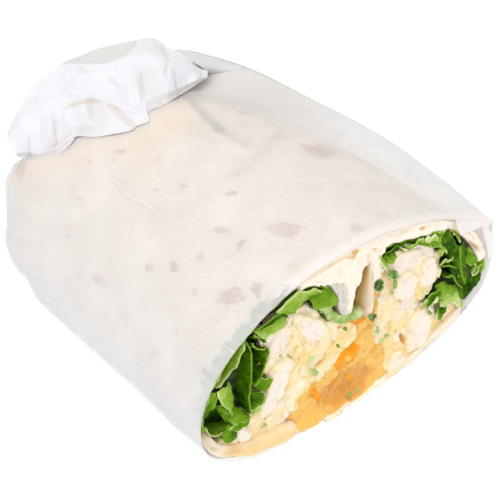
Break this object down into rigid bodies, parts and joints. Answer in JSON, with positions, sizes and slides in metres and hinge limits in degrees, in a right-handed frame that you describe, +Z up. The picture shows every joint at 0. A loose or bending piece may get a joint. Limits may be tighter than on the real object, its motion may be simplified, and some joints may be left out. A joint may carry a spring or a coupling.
{
  "type": "chicken wrap",
  "caption": "Half of a cut chicken wrap lying in a thin white paper bag with its crumpled end folded over, the filled cut face open to the front.",
  "frame": {"origin": "on the ground under the middle of the whole", "axes": "+Z up, -Y out of the cut face, +Y back along the wrap to the bag's folded end, +X to the right of the cut face as seen from the front"},
  "size_m": [0.082, 0.0882, 0.0503],
  "materials": {
    "paper": "thin white glassine, slightly see-through, soft sheen",
    "tortilla": "floury matt wheat tortilla with pale brown toasted spots",
    "filling": "moist creamy curry mayonnaise with shreds in it",
    "chicken": "cooked white meat, moist, fine fibres",
    "chutney": "glossy translucent orange jelly-like sauce",
    "lettuce": "fresh leaf, dark faces with paler veins and rims, waxy",
    "rib": "pale translucent watery rib"
  },
  "bodies": {
    "root": {"paper": "paper", "tortilla": "tortilla", "lettuce_left": "lettuce", "lettuce_right": "lettuce", "lettuce_rib": "rib", "filling_left": "filling", "filling_right": "filling", "chutney": "chutney", "chicken_1": "chicken", "chicken_2": "chicken", "chicken_3": "chicken", "chicken_4": "chicken", "chicken_5": "chicken", "chicken_6": "chicken", "chicken_7": "chicken", "chicken_8": "chicken", "chicken_9": "chicken"}
  },
  "joints": []
}
